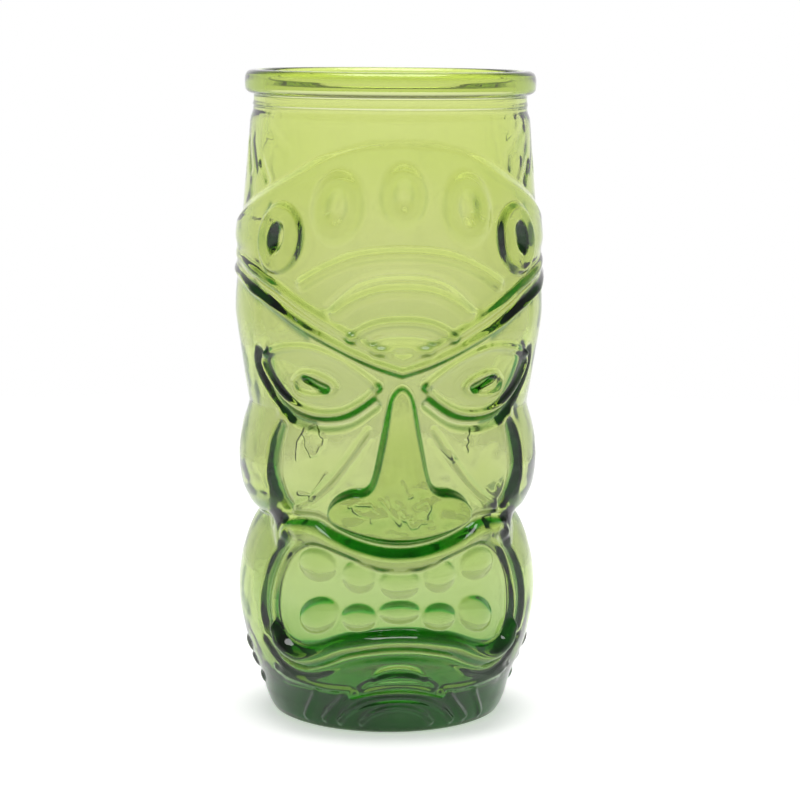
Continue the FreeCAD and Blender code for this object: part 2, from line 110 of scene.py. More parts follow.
# body profile at the sides (radius over height)
P_SIDE = [(0.0, 29.3), (1.0, 30.1), (2.6, 31.1), (4.2, 31.8), (5.9, 32.35), (7.6, 32.7), (9.2, 33.1), (11, 33.7),
          (13, 34.5), (15, 35.4), (17, 36.2), (19, 36.9), (21, 37.5), (23, 38.0), (26, 38.65), (29, 39.15),
          (32, 39.42), (34.5, 39.48), (37.5, 39.28), (40, 38.97), (42.5, 38.57), (45, 37.95), (47.2, 37.3),
          (49, 36.65), (50.5, 36.0), (52, 35.25), (53.3, 34.45), (54.35, 33.95), (55.3, 34.9), (56.3, 35.9),
          (57.3, 36.65), (58.5, 37.3), (60, 38.0), (61.7, 38.6), (63.6, 38.98), (66, 39.3), (69, 39.42),
          (71.5, 39.3), (74, 39.02), (76.5, 38.55), (78.7, 38.02), (80.6, 37.42), (82.2, 36.93), (83.4, 36.72),
          (85, 36.98), (88, 37.48), (91, 37.98), (94.7, 38.53), (98, 39.02), (101.5, 39.6), (105, 40.1),
          (108, 40.35), (111, 40.3), (114, 40.1), (117, 39.9), (120, 39.65), (124, 39.35), (127, 39.1),
          (130, 38.8), (135, 38.33), (140, 37.93), (145, 37.55), (150, 37.15), (155, 36.72), (160, 36.3)]
# body profile of the face, between the side lobes
P_FACE = [(0.0, 29.3), (1.0, 30.1), (2.6, 31.1), (4.2, 31.8), (5.9, 32.35), (7.6, 32.7), (9.2, 33.1), (11, 33.8),
          (13, 34.9), (15, 36.0), (18, 37.0), (21, 37.7), (25, 38.2), (30, 38.5), (35, 38.6), (40, 38.5),
          (45, 38.2), (49, 37.8), (52, 37.2), (55, 36.9), (58, 36.9), (62, 37.1), (68, 37.3), (74, 37.35),
          (80, 37.4), (84, 37.6), (88, 37.95), (92, 38.35), (96, 38.85), (101.5, 39.6), (105, 40.0), (108, 40.1),
          (111, 40.0), (114, 39.85), (117, 39.7), (120, 39.5), (124, 39.25), (127, 39.05), (130, 38.8),
          (135, 38.33), (140, 37.93), (145, 37.55), (150, 37.15), (155, 36.72), (160, 36.3)]
# body profile of the plain rear
P_REAR = [(0.0, 29.3), (1.0, 30.1), (2.6, 31.1), (4.2, 31.8), (5.9, 32.35), (7.6, 32.7), (9.2, 33.1), (11, 33.8),
          (13, 34.7), (16, 36.0), (20, 37.2), (26, 38.3), (33, 38.8), (42, 38.6), (50, 38.0), (56, 37.8),
          (63, 38.2), (71, 38.6), (78, 38.5), (86, 38.5), (94, 39.0), (102, 39.7), (109, 40.1), (117, 40.1),
          (124, 39.8), (130, 39.2), (135, 38.6), (140, 38.05), (145, 37.6), (150, 37.15), (155, 36.72), (160, 36.3)]
# crest lines over the angle
L_BAND = [(0, 152.4), (12, 152.1), (20, 151.0), (32, 148.4), (41, 145.4), (47, 143.4), (60, 139.6), (72, 136.3),
          (83, 133.6), (95, 131.6), (115, 130.0), (180, 129.5)]
L_UP = [(0, 98.8), (9, 101.3), (18, 104.2), (33, 110.0), (48, 115.6), (60, 118.9), (75, 121.4), (90, 122.4),
        (110, 123.0)]
L_LOW = [(0, 95.4), (9, 97.4), (18, 100.0), (33, 105.0), (48, 110.4), (60, 113.7), (75, 116.8), (90, 118.1),
         (110, 119.0)]

# raised or sunk lines: (points as (angle, height), half width mm, height mm)
LINES = [
    ([(0, 125.3), (9, 125.0), (18, 123.8), (28, 120.9), (37, 117.2)], 1.5, 1.0),           # forehead arcs
    ([(0, 120.4), (9, 119.9), (18, 117.6), (28, 111.6)], 0.9, -0.6),
    ([(0, 116.2), (9, 115.6), (17, 113.4), (24, 109.9)], 1.4, 0.9),
    ([(0, 108.4), (8, 107.9), (14, 106.2), (18.5, 104.0)], 1.1, 1.0),
    ([(0, 104.9), (7, 104.6), (12, 103.3)], 0.8, -0.7),
    ([(0, 101.9), (6, 101.5), (10, 100.6)], 1.0, 0.7),
    # eyes: lid rim, outer fold, pupil
    ([(9, 91.6), (16, 95.4), (24, 98.7), (35, 100.9), (47, 100.3), (57, 98.3)], 0.95, 0.85),
    ([(57, 98.3), (60, 95.6), (55, 91.2), (48, 87.4), (40, 85.0), (31, 84.1), (22, 85.1), (14, 88.1), (9, 91.6)], 0.95, 0.95),
    ([(63, 98.2), (64.5, 95.0), (59, 89.6), (51, 84.8), (42, 82.0), (31, 81.3), (20, 82.7), (10, 87.2)], 1.35, -1.6),
    ([(43.5, 91.9), (40, 93.9), (34, 94.2), (28, 92.7), (25.5, 91.0), (29, 89.2), (36, 88.6), (42, 89.6), (43.5, 91.9)], 0.8, 0.75),
    # cheek folds
    ([(13, 80.6), (20, 74.0), (28, 67.4), (37, 62.2), (46, 59.2)], 0.75, 0.6),
    ([(12, 78.8), (19, 71.9), (27, 65.4), (36, 60.5)], 0.7, -0.25),
    # fold in front of the side lobe, cheek and mouth level
    ([(51.5, 79.8), (53.3, 76.0), (54.2, 71.0), (53.7, 66.0), (51, 61.8), (47.5, 59.6)], 1.5, -1.1),
    ([(46.5, 51.6), (51.5, 47.4), (55.5, 42.0), (57.4, 35.5), (57.4, 29.0), (55.6, 24.8)], 1.6, -1.2),
    # groove between nose, cheeks and upper lip, running out to the lobes
    ([(50, 56.1), (44, 56.8), (34, 56.9), (27, 54.6), (18, 52.4), (9, 50.9), (0, 50.4)], 1.2, -1.3),
    # lips
    ([(49, 52.0), (43, 53.3), (34, 53.2), (26, 51.4), (18, 49.6), (9, 48.0), (0, 47.5)], 2.0, 1.6),
    ([(54.0, 26.2), (50.5, 22.9), (44, 20.6), (38, 20.4), (30, 22.1), (22, 24.5), (10, 26.2), (0, 26.7)], 1.75, 2.0),
    ([(60, 23.0), (53, 18.4), (45, 16.4), (37, 16.4), (28, 18.6), (20, 20.9), (10, 22.4), (0, 22.9)], 1.2, -0.9),
    # chin
    ([(58, 15.2), (50, 13.9), (42, 13.2), (31, 12.5), (20.5, 12.6)], 0.9, 0.65),
    ([(20.5, 10.9), (15, 12.0), (8, 13.2), (0, 13.7)], 0.9, 0.7),
    ([(9.5, 16.4), (7, 17.8), (3.5, 18.6), (0, 18.8)], 0.9, -0.8),
    ([(16.0, 13.2), (12.5, 15.0), (8.5, 15.9), (4, 16.2), (0, 16.3)], 0.9, 0.7),
    # foot: arch and slanted facets
    ([(27, 3.2), (22, 6.2), (15, 8.8), (8, 10.1), (0, 10.5)], 0.9, 1.1),
    ([(16.5, 3.2), (12, 5.6), (6, 7.2), (0, 7.7)], 0.8, 0.8),
    ([(35, 3.4), (30, 6.6), (24, 10.4)], 0.9, 0.9),
    ([(46, 3.2), (42, 6.8), (38, 10.2)], 0.9, 0.6),
    # hair strokes high on the sides and the rear
    ([(66, 147.0), (60.5, 142.4)], 1.2, -0.38),
    ([(62, 156.0), (48, 149.4)], 1.5, -0.16),
    ([(84, 151.6), (77, 145.0)], 1.3, -0.3),
    ([(101, 151.8), (95, 143.0)], 1.4, -0.22),
    ([(118, 152.2), (113, 142.4)], 1.5, -0.16),
    ([(136, 152.4), (132, 142.0)], 1.5, -0.14),
    ([(154, 152.5), (151.5, 142.0)], 1.5, -0.14),
    ([(171, 152.6), (170, 142.0)], 1.5, -0.14),
]

# nose outline, right half, from the bridge down and round to the middle
NOSE = [(0, 92.0), (3.6, 90.0), (5.2, 86.4), (7.4, 78.1), (10.4, 68.4), (13.5, 65.5), (19, 65.0), (25, 63.0),
        (28.4, 59.6), (27, 56.4), (21, 54.4), (13, 52.9), (6, 52.1), (0, 51.9)]
# mouth opening between the lips, right half
MOUTH = [(0, 44.8), (9, 45.2), (19, 48.0), (29, 50.0), (38, 50.3), (46, 47.6), (51, 42.0), (53.2, 35.0),
         (53.0, 29.5), (49.5, 25.2), (44, 23.4), (38, 23.2), (31, 24.4), (21, 27.0), (10, 28.4), (0, 28.8)]

# domes: centre angle, centre height, half width mm, half height mm, tilt deg, height mm, dimple
TEETH = [(34, 45.2, 6.1, 4.1, 4, 1.25), (16.2, 43.0, 4.8, 4.2, 8, 1.2), (0, 41.4, 5.6, 3.9, 0, 1.2),
         (33, 32.0, 6.5, 4.5, -26, 1.3), (16.0, 32.2, 4.9, 3.6, -4, 1.2), (0, 33.9, 5.7, 2.9, 0, 1.15)]
RINGS = [(48.6, 128.2, 8.2, 9.9, 12, 1.35, 2.6, 5.0, 2.3, 1.9), (24.4, 136.4, 8.0, 10.9, 7, 1.2, 3.9, 6.0, 1.25, 3.2),
         (0, 139.6, 7.2, 9.4, 0, 1.2, 3.7, 5.4, 1.25, 3.2)]
KNOBS = [(84, 18.6, 2.1, 2.3, 0.75), (87, 13.7, 2.1, 2.1, 0.85), (83.5, 9.5, 1.9, 1.7, 0.7),
         (99, 17.2, 2.0, 2.1, 0.6), (101, 12.2, 1.9, 1.9, 0.6)]


def step(t):
    t = lo(hi(t, 0.0), 1.0)
    return t * t * (3.0 - 2.0 * t)


def table(points, x):
    return interp(x, points)


def seg_dist2(u, z, a, b):
    ax, ay = a[0] * K, a[1]
    bx, by = b[0] * K, b[1]
    dx, dy = bx - ax, by - ay
    t = lo(hi(((u - ax) * dx + (z - ay) * dy) / (dx * dx + dy * dy), 0.0), 1.0)
    return (u - ax - t * dx) ** 2 + (z - ay - t * dy) ** 2


def line_dist(u, z, pts):
    d2 = seg_dist2(u, z, pts[0], pts[1])
    for i in range(1, len(pts) - 1):
        d2 = lo(d2, seg_dist2(u, z, pts[i], pts[i + 1]))
    return root(d2)


def dense(pts):
    # Catmull-Rom curve through the points
    out = []
    n = len(pts)
    for i in range(n - 1):
        p1, p2 = pts[i], pts[i + 1]
        p0 = pts[i - 1] if i > 0 else (2 * p1[0] - p2[0], 2 * p1[1] - p2[1])
        p3 = pts[i + 2] if i < n - 2 else (2 * p2[0] - p1[0], 2 * p2[1] - p1[1])
        if i == 0 and p1[0] == 0 and len(pts) > 2:
            p0 = (-p2[0], p2[1])                     # mirrored across the centre line
        if i == n - 2 and p2[0] == 0 and len(pts) > 2:
            p3 = (-p1[0], p1[1])
        for k in range(3):
            t = k / 3.0
            out.append(tuple(0.5 * (2 * p1[c] + (p2[c] - p0[c]) * t
                                    + (2 * p0[c] - 5 * p1[c] + 4 * p2[c] - p3[c]) * t * t
                                    + (3 * p1[c] - p0[c] - 3 * p2[c] + p3[c]) * t ** 3) for c in (0, 1)))
    out.append(pts[-1])
    return out


def bump(d, w):
    # bell with a compact foot
    t = hi(1.0 - (d / (1.9 * w)) ** 2, 0.0)
    return t * t * t


def inside(u, z, pts):
    # crossing test for an outline closed along the centre line
    c = 0.0 * u
    full = pts + [(-40.0, pts[-1][1]), (-40.0, pts[0][1])]
    n = len(full)
    for i in range(n):
        (a0, z0), (a1, z1) = full[i], full[(i + 1) % n]
        if z0 == z1:
            continue
        ua = (a0 + (z - z0) * (a1 - a0) / (z1 - z0)) * K
        hit = both((z0 > z) != (z1 > z), u < ua)
        c = c + where(hit, 1.0, 0.0)
    return c % 2.0


def outline(u, z, pts):
    d = line_dist(u, z, pts)
    s = inside(u, z, pts)
    return d * (2.0 * s - 1.0)          # positive inside


def dome(u, z, c):
    t = math.radians(c[4])
    du, dz = u - c[0] * K, z - c[1]
    x = (du * math.cos(t) + dz * math.sin(t)) / c[2]
    y = (-du * math.sin(t) + dz * math.cos(t)) / c[3]
    return root(x * x + y * y)


LINES = [(dense(p), w, h) for p, w, h in LINES]
NOSE = dense(NOSE)
MOUTH = dense(MOUTH)


def outer_radius(phi, z):
    """outside radius in mm; phi in degrees from the face centre line, z in mm"""
    a = absolute(phi)
    u = a * K
    side, face, rear = table(P_SIDE, z), table(P_FACE, z), table(P_REAR, z)
    seam = hi(1.0 - absolute(z - 54.6) / 6.5, 0.0)
    wf = 1.0 - step((a - 51.5 - 6.0 * step((z - 84.0) / 10.0) - 2.0 * seam) / (5.5 + 12.0 * seam))
    wr = step((a - 104.0) / 34.0)
    r = face * wf + side * (1.0 - wf) * (1.0 - wr) + rear * (1.0 - wf) * wr

    # head band and forehead, a raised field above the brow
    top = table(L_BAND, a)
    low = table(L_LOW, a)
    lift = 1.0 + 0.45 * step((a - 24.0) / 16.0) - 0.15 * step((a - 55.0) / 20.0)
    keep = 1.0 - (0.05 + 0.67 * step((a - 56.0) / 26.0)) * step((127.5 - z) / 5.0)
    band = lift * keep * step((top - z) / 3.2 + 0.5) * step((z - low + 1.4) / 1.6)
    r = r + band * (1.0 - 0.75 * wr)

    # brow ridges
    up = line_dist(u, z, L_UP)
    lw = line_dist(u, z, L_LOW)
    fade = 1.0 - step((a - 98.0) / 14.0)
    ridge = hi((1.15 + 0.3 * step((a - 28.0) / 12.0) - 0.95 * step((a - 54.0) / 26.0)) * bump(lw, 1.25),
               (0.95 - 0.55 * step((a - 58.0) / 27.0)) * bump(up, 1.2))
    r = r + ridge * fade

    for pts, w, h in LINES:
        d = line_dist(u, z, pts)
        r = r + h * bump(d, w)

    slit = line_dist(u, z, [(29.2, 90.6), (33.5, 91.6), (38.0, 92.9)])
    r = r - 1.8 * hi(1.0 - slit / 1.1, 0.0)

    nose = outline(u, z, NOSE)
    rise = 1.7 + 2.6 * step((92.0 - z) / 18.0)
    wall = 1.8 + 0.8 * step((61.0 - z) / 5.0)
    r = r + rise * step(nose / wall + 0.3) + 0.3 * step((nose - 1.5) / 4.0)

    mouth = outline(u, z, MOUTH)
    r = r - 1.45 * step(mouth / 1.8 + 0.4)

    for c in TEETH:
        e = dome(u, z, c)
        r = r + c[5] * hi(1.0 - e ** 2.4, 0.0) ** 0.75
    for c in RINGS:
        e = dome(u, z, c[:5])
        h = dome(u, z, (c[0], c[1] + 0.3, c[6], c[7], c[4]))
        r = r + c[5] * step((1.0 - e) * c[2] / c[9]) - c[8] * step((1.0 - h) * c[6] / c[9])
    for c in KNOBS:
        e = dome(u, z, (c[0], c[1], c[2], c[3], 0.0))
        r = r + c[4] * root(hi(1.0 - e * e, 0.0))
    return r


# inside of the glass, blown: it follows the outside only softly
P_IN = [(9.9, 24.0), (10.3, 26.3), (11.2, 28.2), (13, 29.8), (15, 30.9), (18, 32.2), (22, 33.5), (27, 34.6), (33, 35.2),
        (39, 34.9), (45, 33.7), (50, 32.2), (54.3, 31.2), (58, 32.2), (63, 34.2), (69, 35.1), (76, 34.5),
        (84, 33.4), (92, 34.2), (100, 35.5), (109, 36.4), (117, 36.4), (125, 36.0), (132, 35.6), (140, 34.7),
        (150, 33.8), (155, 33.5), (157, 33.4), (160, 33.3)]
P_IN_FACE = [(9.9, 24.0), (10.3, 26.3), (11.2, 28.2), (13, 29.9), (15, 31.2), (18, 32.8), (22, 33.8), (27, 34.4), (33, 34.5),
             (39, 34.3), (45, 34.0), (50, 33.6), (54.3, 33.3), (58, 33.4), (63, 33.6), (69, 33.8), (76, 33.9),
             (84, 34.0), (92, 34.6), (100, 35.6), (109, 36.5), (117, 36.5), (125, 36.1), (132, 35.6),
             (140, 34.8), (150, 33.9), (155, 33.5), (157, 33.4), (160, 33.3)]
P_IN_REAR = [(9.9, 24.0), (10.3, 26.3), (11.2, 28.2), (13, 29.9), (15, 31.1), (18, 32.5), (22, 33.8), (27, 34.8), (33, 35.3),
             (42, 35.2), (50, 34.6), (56, 34.4), (63, 34.8), (71, 35.2), (78, 35.1), (86, 35.2), (94, 35.7),
             (102, 36.3), (109, 36.7), (117, 36.7), (124, 36.3), (130, 35.8), (135, 35.2), (140, 34.7),
             (150, 33.8), (155, 33.5), (157, 33.4), (160, 33.3)]


def inner_radius(phi, z):
    """inside radius in mm"""
    a = absolute(phi)
    wf = 1.0 - step((a - 34.0) / 34.0)
    wr = step((a - 100.0) / 44.0)
    return (table(P_IN_FACE, z) * wf + table(P_IN, z) * (1.0 - wf) * (1.0 - wr)
            + table(P_IN_REAR, z) * (1.0 - wf) * wr)


# ---------------------------------------------------------------- the glass mesh
def smooth_curve(pts, n):
    """points along a curve through pts (chord length, limited slopes)"""
    p = np.array(pts, float)
    d = np.concatenate([[0], np.cumsum(np.hypot(*np.diff(p, axis=0).T))])
    t = np.linspace(0, d[-1], n)
    r = interp(t, list(zip(d, p[:, 0])))
    z = interp(t, list(zip(d, p[:, 1])))
    return list(zip(r, z))


def wave(phi, z, seed, parts, lengths):
    """smooth unevenness of moulded glass: a sum of waves, periodic round the body"""
    rng = np.random.RandomState(seed)
    out = np.zeros(np.broadcast(phi, z).shape)
    for _ in range(parts):
        length = rng.uniform(*lengths)
        turn = rng.uniform(0, 2 * math.pi)
        kp = round(math.cos(turn) * 2 * math.pi * 38.0 / length)
        kz = math.sin(turn) * 2 * math.pi / length
        out += np.cos(np.radians(phi) * kp + z * kz + rng.uniform(0, 2 * math.pi))
    return out / math.sqrt(parts)


def blur(field, sx, sy):
    """Gaussian blur; periodic along axis 1, mirrored at the ends of axis 0; sigmas in cells"""
    f = np.concatenate([field[::-1], field, field[::-1]], axis=0)
    ky = np.fft.fftfreq(f.shape[0])[:, None]
    kx = np.fft.rfftfreq(f.shape[1])[None, :]
    g = np.exp(-2 * (math.pi ** 2) * ((kx * sx) ** 2 + (ky * sy) ** 2))
    out = np.fft.irfft2(np.fft.rfft2(f) * g, s=f.shape)
    n = field.shape[0]
    return out[n:2 * n]


# cooled-in wrinkles on the inside, behind the nose and the cheeks, as (angle, height)
WRINKLES = [
    [(-14.6, 63.1), (-16.3, 62.2), (-18.7, 61.5), (-20.4, 60.5)],
    [(-12.3, 61.2), (-14.9, 61.2), (-18.1, 61.2), (-18.8, 60.5), (-18.5, 59.7), (-16.3, 59.0), (-14.0, 58.6), (-12.1, 58.6), (-11.0, 58.0), (-11.4, 57.1)],
    [(-12.3, 61.2), (-11.6, 61.5), (-10.2, 60.4), (-8.7, 59.6), (-8.6, 61.3), (-8.0, 62.7), (-6.9, 62.3), (-5.1, 60.7), (-3.2, 58.9), (-1.3, 57.1), (-0.1, 56.3)],
    [(-5.3, 63.1), (-4.1, 61.0), (-2.7, 59.4), (-0.3, 57.4), (0.2, 56.8)],
    [(-1.4, 62.1), (0.1, 61.6), (0.8, 60.7), (-0.2, 60.5), (-1.1, 61.5), (-1.4, 62.1)],
    [(-0.4, 60.0), (0.1, 58.4), (1.6, 57.5), (2.4, 58.0), (2.0, 59.0), (0.6, 60.0), (-0.4, 60.0)],
    [(0.8, 67.2), (1.8, 65.8), (2.6, 64.2), (3.1, 63.4), (4.7, 63.8)],
    [(7.3, 63.3), (7.5, 61.8), (7.1, 61.2), (8.6, 61.8), (10.5, 62.4), (11.5, 61.6), (12.0, 60.4), (11.1, 59.5), (10.6, 58.5), (11.1, 57.7)],
    [(4.4, 58.5), (3.1, 58.0), (2.7, 57.2), (4.2, 57.4)],
    [(3.5, 56.7), (4.7, 55.7), (6.8, 55.9), (8.0, 56.8), (9.7, 56.9), (13.2, 56.7)],
    [(-42.7, 78.4), (-45.4, 76.0), (-45.8, 73.9), (-46.1, 71.3)],
    [(-42.7, 78.4), (-40.6, 78.7), (-38.3, 79.9), (-36.1, 80.9), (-35.4, 79.3), (-33.9, 78.1), (-32.2, 77.8), (-33.1, 75.6), (-34.5, 75.1), (-35.9, 73.3), (-38.9, 72.7), (-39.7, 73.9), (-41.3, 75.1), (-41.3, 76.8), (-42.7, 78.4)],
    [(-45.7, 62.6), (-42.4, 62.5), (-38.5, 61.9), (-35.1, 65.2), (-31.6, 68.4)],
    [(30.8, 78.8), (29.2, 77.7), (30.3, 76.7), (28.8, 75.6), (30.0, 74.2)],
    [(17.8, 75.2), (20.5, 73.8), (24.1, 72.2)],
]

N = 760          # columns round the body
DZ = 0.33        # row spacing on the relief, mm
phi = np.arange(N) * 360.0 / N
half = np.where(phi > 180.0, 360.0 - phi, phi)

# outside wall
z_out = np.linspace(1.0, Z_JOINT, int((Z_JOINT - 1.0) / DZ) + 1)
PH, ZZ = np.meshgrid(half, z_out)
keep = half <= 180.0
cols = int(N // 2) + 1
R_half = outer_radius(PH[:, :cols], ZZ[:, :cols])
R_out = np.concatenate([R_half, R_half[:, 1:N - cols + 1][:, ::-1]], axis=1)
cell = 2 * math.pi * 38.5 / N
R_out = blur(R_out, 0.22 / cell, 0.22 / DZ)          # fire polish
PHF, _ = np.meshgrid(phi, z_out)
R_out = R_out + 0.012 * wave(PHF, ZZ, 3, 24, (5.0, 12.0))

# inside wall: the plain blown cup, taking up the relief softly, with the unevenness of blown glass
zi_steps = [(Z_JOINT, 0.75), (84.0, DZ), (49.0, 0.75)]
z_in = np.concatenate([np.linspace(z0, z1, int((z0 - z1) / s_) + 1)[:-1] for (z0, s_), z1 in zip(zi_steps, (84.0, 49.0, 14.0))]
                      + [[14.0]])
PI_, ZI = np.meshgrid(phi, z_in)
HI_, _ = np.meshgrid(half, z_in)
R_in = inner_radius(HI_, ZI)
plain = outer_radius(np.full_like(z_out, 180.0), z_out)[:, None]
soft = blur(R_out - blur(R_out, 9.0 / cell, 9.0 / DZ), 2.6 / cell, 2.6 / DZ)
iz = np.interp(z_in, z_out, np.arange(len(z_out)))
i0 = np.clip(iz.astype(int), 0, len(z_out) - 2)
fr = (iz - i0)[:, None]
soft_in = soft[i0] * (1 - fr) + soft[i0 + 1] * fr
ends = (step((Z_JOINT - ZI) / 12.0) * step((ZI - 14.0) / 10.0))
R_in = R_in + (0.25 + 0.35 * step((HI_ - 46.0) / 10.0)) * soft_in * ends
R_in = R_in + (0.08 * wave(PI_, ZI, 11, 26, (10.0, 28.0)) + 0.02 * wave(PI_, ZI, 12, 30, (5.0, 10.0))) * ends
# behind the nose and the cheeks the glass was pushed out furthest and its inside is lumpy
lump = step((27.0 - HI_) / 8.0) * step((ZI - 52.0) / 3.0) * step((69.0 - ZI) / 5.0)
R_in = R_in + 0.26 * wave(PI_, ZI, 21, 22, (4.5, 8.0)) * lump
lump = step((HI_ - 26.0) / 8.0) * step((52.0 - HI_) / 6.0) * step((ZI - 60.0) / 6.0) * step((82.0 - ZI) / 6.0)
R_in = R_in + 0.07 * wave(PI_, ZI, 22, 22, (5.0, 10.0)) * lump

signed = np.where(PI_ > 180.0, PI_ - 360.0, PI_)
zone = np.where((z_in > 49.0) & (z_in < 84.0))[0]
cz = np.where(np.abs(np.where(phi > 180.0, phi - 360.0, phi)) < 52.0)[0]
box = np.ix_(zone, cz)
for pts in WRINKLES:
    dw = line_dist(signed[box] * K, ZI[box], pts)
    R_in[box] += 0.42 * np.maximum(1.0 - (dw / 0.55) ** 2, 0.0) ** 2

rows = []                                 # (radius array or number, height array or number)
R_cap = (PUNT_R ** 2 + PUNT_H ** 2) / (2 * PUNT_H)
for r in np.linspace(0.6, PUNT_R - 0.8, 22):
    rows.append((r, math.sqrt(R_cap ** 2 - r ** 2) - (R_cap - PUNT_H)))
foot = smooth_curve([(PUNT_R - 0.8, math.sqrt(R_cap ** 2 - (PUNT_R - 0.8) ** 2) - (R_cap - PUNT_H)), (PUNT_R, 0.03),
                     (PUNT_R + 0.7, 0.0), (FOOT_R - 0.6, 0.0), (FOOT_R, 0.02), (FOOT_R + 0.9, 0.14), (29.25, 0.5)], 26)
rows += foot[1:]
FIRST_OUT = len(rows)
for i, z in enumerate(z_out):
    rows.append((R_out[i], z))
neck = smooth_curve([(0.0, Z_JOINT), (-0.16, 157.9), (-0.48, 158.8), (-0.78, 159.8), (-0.84, 160.6), (-0.66, 161.1),
                     (-0.80, 161.6), (-0.86, 162.1), (-0.86, 162.6)], 44)
r_top = R_out[-1]
mean_top = float(np.mean(r_top))
for k, (d, z) in enumerate(neck[1:], 1):
    t = k / (len(neck) - 1.0)
    rows.append((r_top * (1 - t) + mean_top * t + d, z))
r_n = mean_top - 0.86
bead = smooth_curve([(r_n, 162.6), (r_n - 0.04, 163.2), (r_n + 0.15, 163.65), (36.7, 163.95), (37.5, 164.45), (37.88, 165.2),
                     (BEAD_R + 0.02, 166.2), (BEAD_R, 167.6), (37.8, 168.6), (37.3, 169.4), (36.3, 169.88), (35.2, H), (34.2, 169.8), (33.4, 169.1),
                     (BORE_R + 0.05, 167.5), (BORE_R - 0.02, 165.0), (BORE_R, 162.4), (BORE_R + 0.10, 160.8),
                     (33.22, 159.0), (float(np.mean(R_in[0])), Z_JOINT)], 84)
rows += bead[1:-1]
for i, z in enumerate(z_in):
    rows.append((R_in[i], z))
r_low = R_in[-1]
bowl = smooth_curve([(0.0, 14.0), (-0.95, 12.9), (-2.3, 11.6), (-4.3, 10.75), (-7.2, 10.25), (-12.0, 9.98), (-20.0, 10.25), (-29.6, 10.6)], 70)
mean_low = float(np.mean(r_low))
for k, (d, z) in enumerate(bowl[1:], 1):
    t = min(1.0, k / 12.0)
    rows.append((np.maximum(r_low * (1 - t) + mean_low * t + d, 0.5), z))

RR = np.array([np.broadcast_to(np.asarray(r, float), (N,)) for r, _ in rows])
ZR = np.array([float(z) for _, z in rows])
top = np.radians(phi)
X = RR * np.sin(top)[None, :]
Y = -RR * np.cos(top)[None, :]
Z = np.broadcast_to(ZR[:, None], RR.shape)
M = len(rows)
verts = np.empty((M * N + 2, 3))
verts[:-2, 0], verts[:-2, 1], verts[:-2, 2] = X.ravel(), Y.ravel(), Z.ravel()
verts[-2] = (0, 0, PUNT_H)
verts[-1] = (0, 0, float(ZR[-1]))
verts *= 0.001

# faces: quads between rows, fans at both ends; outward normals
i, j = np.meshgrid(np.arange(M - 1), np.arange(N), indexing="ij")
a = i * N + j
b = i * N + (j + 1) % N
c = (i + 1) * N + (j + 1) % N
d = (i + 1) * N + j
quads = np.stack([a, b, c, d], axis=-1).reshape(-1, 4)
jj = np.arange(N)
fan0 = np.stack([np.full(N, M * N), (jj + 1) % N, jj], axis=-1)
fan1 = np.stack([np.full(N, M * N + 1), (M - 1) * N + jj, (M - 1) * N + (jj + 1) % N], axis=-1)

mesh = bpy.data.meshes.new("glass_body")
mesh.vertices.add(len(verts))
mesh.vertices.foreach_set("co", verts.ravel())
loops = np.concatenate([quads.ravel(), fan0.ravel(), fan1.ravel()]).astype(np.int32)
counts = np.concatenate([np.full(len(quads), 4), np.full(2 * N, 3)]).astype(np.int32)
starts = np.concatenate([[0], np.cumsum(counts)[:-1]]).astype(np.int32)
mesh.loops.add(len(loops))
mesh.loops.foreach_set("vertex_index", loops)
mesh.polygons.add(len(counts))
mesh.polygons.foreach_set("loop_start", starts)
mesh.polygons.foreach_set("loop_total", counts)
mesh.polygons.foreach_set("use_smooth", np.ones(len(counts), dtype=bool))
mesh.update(calc_edges=True)
mesh.validate()
# how steep the relief is, per vertex, kept as painted shade: steep, thick edges get a darker, deeper green base colour,
# standing in for the light that turns many times inside them and is lost
relief = R_out - blur(R_out, 9.0 / cell, 9.0 / DZ)
g_up = np.gradient(relief, DZ, axis=0)
g_round = (np.roll(relief, -1, axis=1) - np.roll(relief, 1, axis=1)) / (2 * cell)
steep_shade = blur(np.hypot(g_up, g_round), 0.35 / cell, 0.35 / DZ)
steep_shade = np.clip((steep_shade - 0.42) / 0.62, 0.0, 1.0) * step((z_out[:, None] - 6.0) / 8.0)
# painted shade along the thickest edges, as (angle, height) lines with half width and depth of colour
SHADE_EDGES = [([(36, 104.0), (42, 106.3), (50, 109.3), (60, 112.3), (74, 115.2)], 1.2, 0.95),
         ([(46, 114.6), (56, 117.6), (66, 119.8), (78, 121.2)], 0.6, 0.8),
         ([(63, 98.2), (64.5, 95.0), (59, 89.6), (51, 84.8), (44, 82.4), (36, 81.7)], 1.15, 0.95),
         ([(52.0, 79.8), (53.8, 76.0), (54.7, 71.0), (54.2, 66.0), (51.5, 61.8), (47.5, 59.4)], 1.15, 0.95),
         ([(49.5, 50.5), (53.5, 46.0), (57.0, 40.0), (58.2, 34.0), (57.2, 28.5), (54, 24.0), (48, 21.3), (41, 21.2)], 1.9, 0.95),
         ([(41, 21.2), (34, 22.4), (26, 24.6), (18, 26.3), (10, 27.4), (0, 27.9)], 0.9, 0.8),
         ([(54.5, 136.5), (58.0, 131.5), (58.0, 124.0), (54.5, 119.5)], 0.8, 0.9)]
sub = (half < 90.0)
uu, zz = PH[:, sub] * K, ZZ[:, sub]
edge_shade = np.zeros(uu.shape)
for pts, w_, s_ in SHADE_EDGES:
    edge_shade = np.maximum(edge_shade, s_ * bump(line_dist(uu, zz, dense(pts)), w_))
# painted shade in a band along the nose outline
rim_of_nose = outline(uu, zz, NOSE)
edge_shade = np.maximum(edge_shade, 0.95 * step((rim_of_nose + 0.8) / 0.7) * step((1.5 - rim_of_nose) / 0.7) * step((91.0 - zz) / 5.0))
steep_shade[:, sub] = np.maximum(steep_shade[:, sub], edge_shade)
